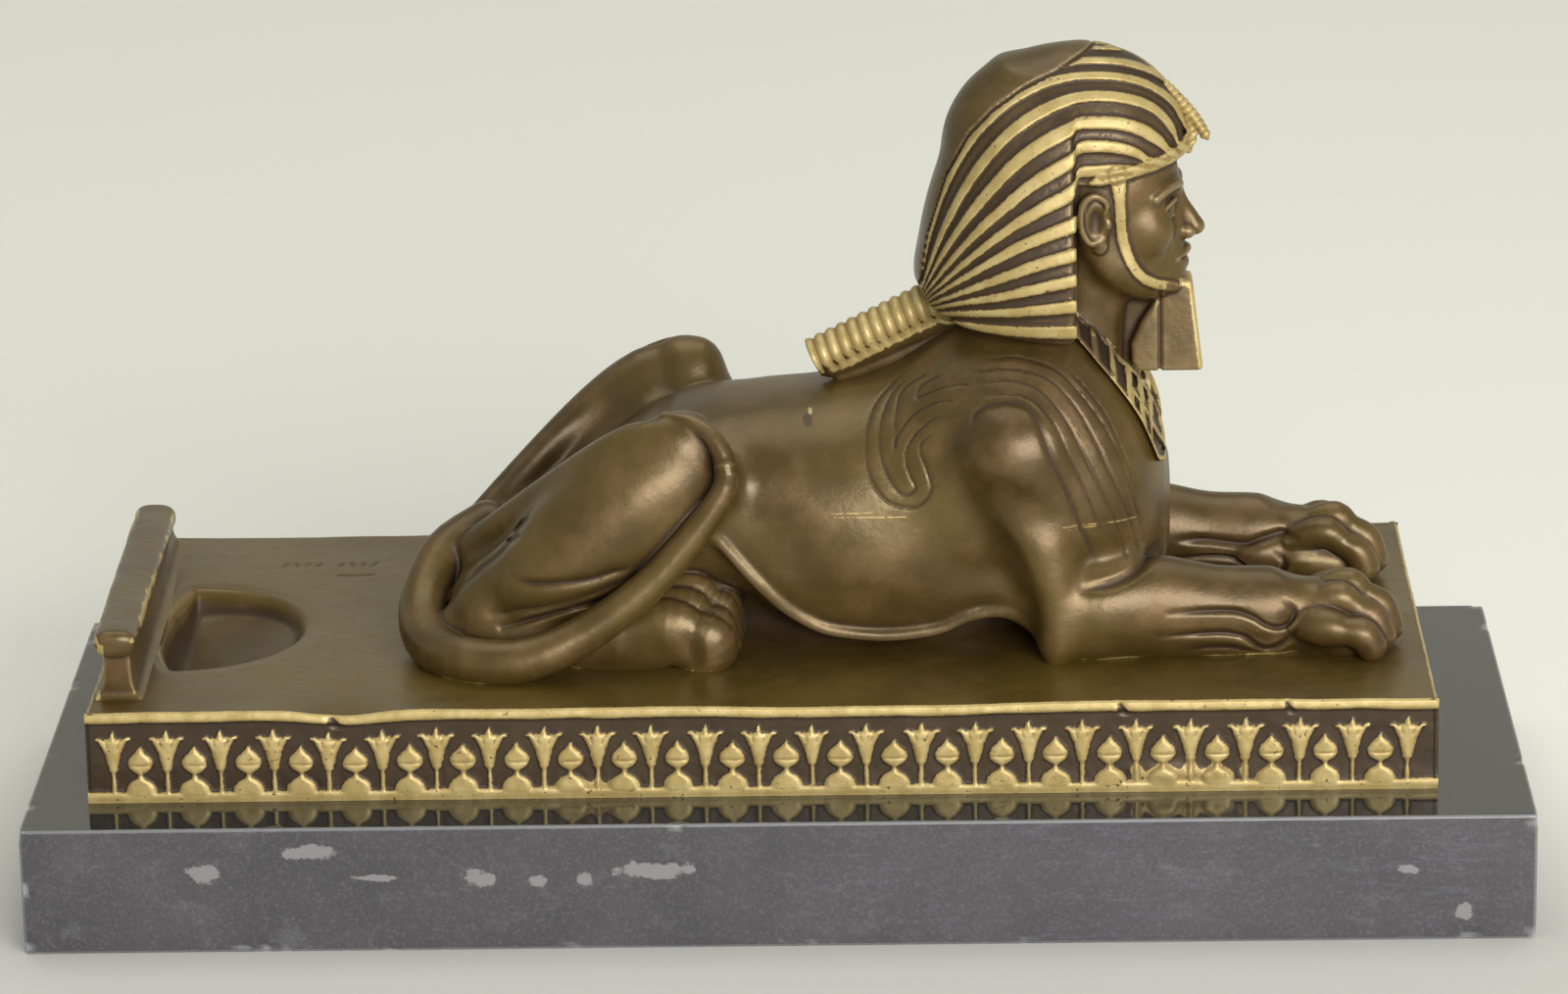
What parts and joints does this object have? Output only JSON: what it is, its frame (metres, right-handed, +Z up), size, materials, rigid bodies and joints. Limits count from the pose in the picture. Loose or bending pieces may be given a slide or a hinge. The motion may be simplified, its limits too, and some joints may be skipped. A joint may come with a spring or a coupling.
{
  "type": "sphinx statue",
  "caption": "Cast sphinx statuette: a recumbent lion with a headdressed human head, cast in one with a railed plinth, standing on a rectangular marble base.",
  "frame": {"origin": "middle of the underside of the marble base", "axes": "+X along the figure towards the front paws, +Y towards the figure's left side (away from the tail), +Z up"},
  "size_m": [0.38, 0.165, 0.2103],
  "materials": {
    "patinated_bronze": "satin brown patina on cast bronze",
    "gilding": "hand-painted matte gold on the raised ornament",
    "black_marble": "polished top, honed sides, pale veins and blotches"
  },
  "bodies": {
    "root": {"sphinx_and_plinth": "patinated_bronze", "marble_base": "black_marble"}
  },
  "joints": []
}
